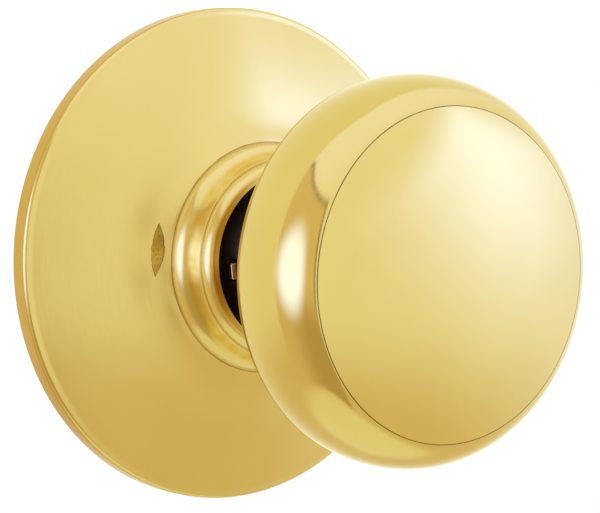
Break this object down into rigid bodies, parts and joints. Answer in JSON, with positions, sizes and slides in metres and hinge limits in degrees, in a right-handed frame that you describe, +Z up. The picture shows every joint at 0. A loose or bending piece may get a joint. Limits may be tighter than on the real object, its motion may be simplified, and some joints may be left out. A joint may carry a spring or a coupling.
{
  "type": "door knob",
  "caption": "Round polished brass door knob on a dished rose, with its sprung spindle, mounting plate and square drive bar.",
  "frame": {"origin": "on the knob's axis, in the plane of the door's face", "axes": "+Y into the door along the knob's axis, +Z up, +X to the right for someone facing the knob"},
  "size_m": [0.0724, 0.1036, 0.0724],
  "materials": {
    "polished_brass": "polished and lacquered",
    "rolled_brass": "dull rolled strip",
    "dark_steel": "black oxide",
    "zinc_plated_steel": "bright zinc plate",
    "spring_steel": "oiled spring steel",
    "cast_zinc": "as cast",
    "sintered_bronze": "sintered, oil filled"
  },
  "bodies": {
    "fixed_half": {"rose": "polished_brass", "mounting_plate": "zinc_plated_steel", "bearing_bush": "sintered_bronze", "spring_housing": "zinc_plated_steel", "housing_cap": "zinc_plated_steel", "return_spring": "spring_steel", "housing_rivet_right": "zinc_plated_steel", "housing_rivet_left": "zinc_plated_steel", "mounting_screw_upper": "zinc_plated_steel", "mounting_screw_lower": "zinc_plated_steel", "rose_catch_spring": "spring_steel", "catch_spring_rivet": "zinc_plated_steel"},
    "knob": {"knob_front_cap": "polished_brass", "knob_back_shell": "polished_brass", "knob_hub": "cast_zinc", "spindle_sleeve": "dark_steel", "spindle_plug": "cast_zinc", "drive_bar": "zinc_plated_steel", "drive_bar_pin": "spring_steel", "spring_driver": "cast_zinc", "retaining_ring": "spring_steel", "thrust_washer": "sintered_bronze", "knob_catch_spring": "spring_steel"},
    "knob_release": {"knob_catch": "rolled_brass"},
    "rose_release": {"rose_catch": "rolled_brass"}
  },
  "joints": [
    {"name": "knob_turn", "type": "hinge", "parent": "fixed_half", "child": "knob", "pos_m": [0, 0, 0], "axis": [0, -1, 0], "range_deg": [-60, 60], "stiffness_Nm_per_rad": 0.35, "deforming": ["return_spring"]},
    {"name": "knob_catch_press", "type": "slide", "parent": "knob", "child": "knob_release", "axis": [0.9925, 0, 0.1219], "range_m": [0, 0.0016], "stiffness_N_per_m": 700, "springref_m": -0.0015, "deforming": ["knob_catch_spring"]},
    {"name": "rose_catch_press", "type": "slide", "parent": "fixed_half", "child": "rose_release", "axis": [0, 1, 0], "range_m": [0, 0.0012], "stiffness_N_per_m": 900, "springref_m": -0.0015, "deforming": ["rose_catch_spring"]}
  ]
}
